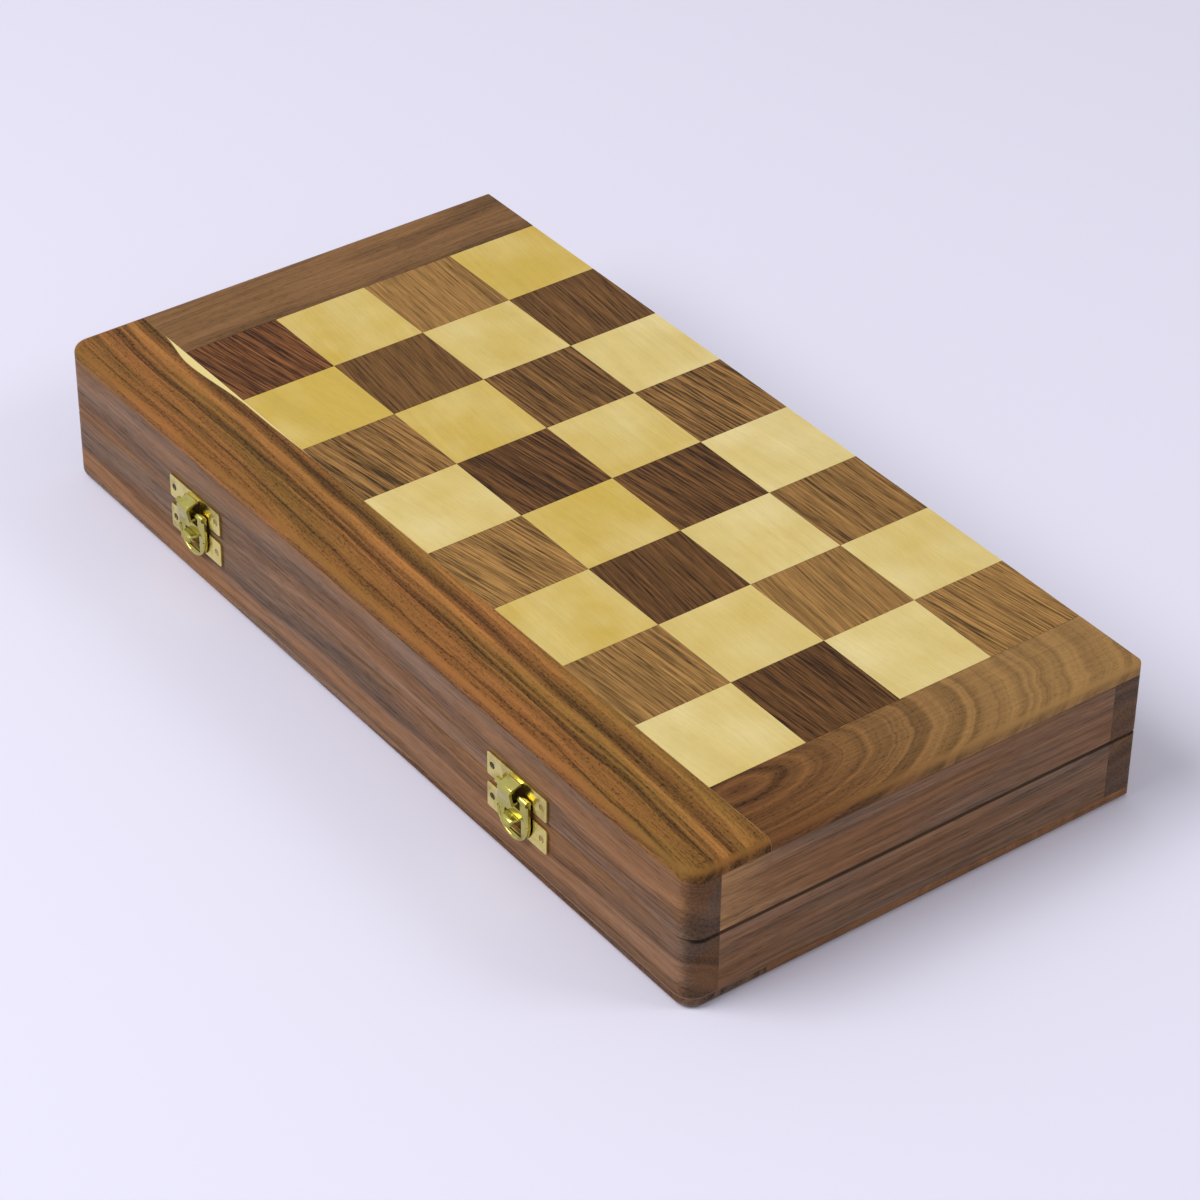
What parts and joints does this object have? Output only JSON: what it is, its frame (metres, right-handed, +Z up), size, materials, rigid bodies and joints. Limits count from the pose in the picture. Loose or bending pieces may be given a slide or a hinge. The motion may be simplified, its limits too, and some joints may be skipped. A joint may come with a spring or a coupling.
{
  "type": "chess box",
  "caption": "Folding wooden chess box: two hinged trays whose outer faces form the playing board, closed by two brass hasps, with felt and foam slots inside for the men.",
  "frame": {"origin": "centre of the resting face, the outer face of the lower half", "axes": "+X along the box's length, to the right seen from the catches; -Y towards the catches; +Z up"},
  "size_m": [0.308, 0.1613, 0.0463],
  "materials": {
    "wall_wood": "satin lacquered dark hardwood",
    "border_wood": "satin lacquered hardwood",
    "light_square_wood": "satin lacquered pale hardwood",
    "dark_square_wood": "satin lacquered dark hardwood",
    "panel_ply": "plain plywood",
    "felt_lining": "felt",
    "covered_foam": "felt-covered foam",
    "catch_brass": "polished stamped brass",
    "hinge_brass": "satin brass",
    "fastener_brass": "dull brass"
  },
  "bodies": {
    "base": {"base_front_wall": "wall_wood", "base_back_wall": "wall_wood", "base_left_wall": "wall_wood", "base_right_wall": "wall_wood", "base_panel": "panel_ply", "base_front_border": "border_wood", "base_left_border": "border_wood", "base_right_border": "border_wood", "base_light_squares": "light_square_wood", "base_dark_squares": "dark_square_wood", "base_felt": "felt_lining", "base_foam_rail": "covered_foam", "base_foam_ribs": "covered_foam", "left_hinge_base_leaf": "hinge_brass", "left_hinge_pin": "hinge_brass", "right_hinge_base_leaf": "hinge_brass", "right_hinge_pin": "hinge_brass", "base_hinge_screws": "fastener_brass", "left_keeper_plate": "catch_brass", "right_keeper_plate": "catch_brass", "base_catch_pins": "fastener_brass"},
    "lid": {"lid_front_wall": "wall_wood", "lid_back_wall": "wall_wood", "lid_left_wall": "wall_wood", "lid_right_wall": "wall_wood", "lid_panel": "panel_ply", "lid_front_border": "border_wood", "lid_left_border": "border_wood", "lid_right_border": "border_wood", "lid_light_squares": "light_square_wood", "lid_dark_squares": "dark_square_wood", "lid_felt": "felt_lining", "lid_foam_rail": "covered_foam", "lid_foam_ribs": "covered_foam", "left_hinge_lid_leaf": "hinge_brass", "right_hinge_lid_leaf": "hinge_brass", "lid_hinge_screws": "fastener_brass", "left_hasp_plate": "catch_brass", "right_hasp_plate": "catch_brass", "lid_catch_pins": "fastener_brass"},
    "left_hasp": {"left_hasp": "catch_brass"},
    "right_hasp": {"right_hasp": "catch_brass"}
  },
  "joints": [
    {"name": "lid_hinge", "type": "hinge", "parent": "base", "child": "lid", "pos_m": [0, 0.0772, 0.02315], "axis": [-1, 0, 0], "range_deg": [0, 180]},
    {"name": "left_hasp_swing", "type": "hinge", "parent": "lid", "child": "left_hasp", "pos_m": [-0.0815, -0.0791, 0.02665], "axis": [-1, 0, 0], "range_deg": [0, 150]},
    {"name": "right_hasp_swing", "type": "hinge", "parent": "lid", "child": "right_hasp", "pos_m": [0.08, -0.0791, 0.02665], "axis": [-1, 0, 0], "range_deg": [0, 150]}
  ]
}
